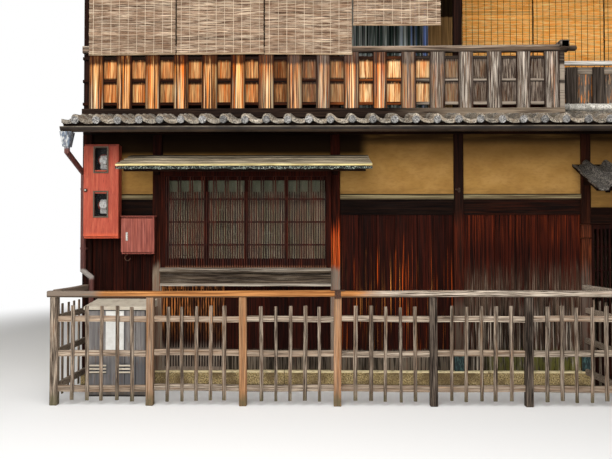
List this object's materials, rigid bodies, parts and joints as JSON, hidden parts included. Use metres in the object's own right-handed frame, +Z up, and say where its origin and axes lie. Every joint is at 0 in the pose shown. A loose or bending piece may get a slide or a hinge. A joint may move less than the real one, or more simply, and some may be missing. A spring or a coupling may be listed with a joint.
{
  "type": "machiya townhouse",
  "caption": "Two-storey wooden row town house with board walls, latticed bay window, tiled pent roof, board balcony with reed blinds, sliding lattice door and slatted fence.",
  "frame": {"origin": "centre of the ground floor slab at ground level", "axes": "+X to the right along the street front, +Y from the street into the house, +Z up"},
  "size_m": [6.895, 9.4739, 7.1186],
  "materials": {
    "weathered_wood": "weathered grey-brown timber",
    "dark_wood": "dark stained timber",
    "orange_wood": "sun-worn orange timber",
    "ochre_plaster": "matt ochre clay plaster",
    "granite": "dressed granite",
    "roof_tile": "smoked clay tile",
    "gutter_metal": "brown sheet metal",
    "red_paint": "salmon red paint on wood",
    "glass": "glass",
    "grey_reed": "grey-brown split reed",
    "yellow_reed": "yellow split reed",
    "grey_paint": "grey painted steel"
  },
  "bodies": {
    "house": {"back_board_wall": "weathered_wood", "back_pent_boards": "weathered_wood", "back_pent_tiles": "roof_tile", "back_plaster": "ochre_plaster", "back_windows": "weathered_wood", "balcony_boards": "orange_wood", "balcony_panels": "orange_wood", "balcony_rails": "orange_wood", "balcony_sill": "weathered_wood", "balcony_top_rail": "weathered_wood", "cabinet_lid": "grey_paint", "canopy_frame": "dark_wood", "canopy_roof": "weathered_wood", "downpipe": "gutter_metal", "eaves_beams": "dark_wood", "entrance_balcony": "weathered_wood", "entrance_fixed_lattice": "weathered_wood", "entrance_frame": "weathered_wood", "entrance_ridge": "roof_tile", "entrance_roof": "roof_tile", "entrance_roof_frame": "weathered_wood", "fence_panels": "weathered_wood", "fence_posts": "weathered_wood", "fence_top_rail": "weathered_wood", "front_board_wall": "dark_wood", "front_gutter": "gutter_metal", "front_lintels": "dark_wood", "front_pent_boards": "weathered_wood", "front_pent_tiles": "roof_tile", "front_plaster": "ochre_plaster", "grey_blinds": "grey_reed", "ground_floor": "weathered_wood", "ground_posts": "dark_wood", "lower_lattice": "dark_wood", "main_roof_back": "roof_tile", "main_roof_front": "roof_tile", "meter_box": "red_paint", "party_wall_left": "ochre_plaster", "party_wall_right": "ochre_plaster", "roof_boards": "weathered_wood", "roof_ridge": "roof_tile", "small_box": "red_paint", "stone_plinth": "granite", "upper_floor": "weathered_wood", "upper_front_frame": "weathered_wood", "upper_front_plaster": "ochre_plaster", "upper_front_sashes": "weathered_wood", "upper_posts": "dark_wood", "utility_cabinet": "grey_paint", "wall_plates": "dark_wood", "window_frame": "dark_wood", "window_lattice": "dark_wood", "window_panes": "glass", "window_sashes": "dark_wood", "window_sill": "weathered_wood", "yellow_blinds": "yellow_reed"},
    "entrance_door": {"entrance_door": "weathered_wood"},
    "meter_box_door": {"meter_box_door": "red_paint", "meter_box_glass": "glass"},
    "small_box_door": {"small_box_door": "red_paint"}
  },
  "joints": [
    {"name": "entrance_door_slide", "type": "slide", "parent": "house", "child": "entrance_door", "axis": [1, 0, 0], "range_m": [0, 0.56]},
    {"name": "meter_box_door_hinge", "type": "hinge", "parent": "house", "child": "meter_box_door", "pos_m": [-3.006, -4.1063, 2.119], "axis": [0, 0, 1], "range_deg": [0, 90]},
    {"name": "small_box_door_hinge", "type": "hinge", "parent": "house", "child": "small_box_door", "pos_m": [-2.63, -4.0563, 1.643], "axis": [0, 0, 1], "range_deg": [0, 90]}
  ]
}
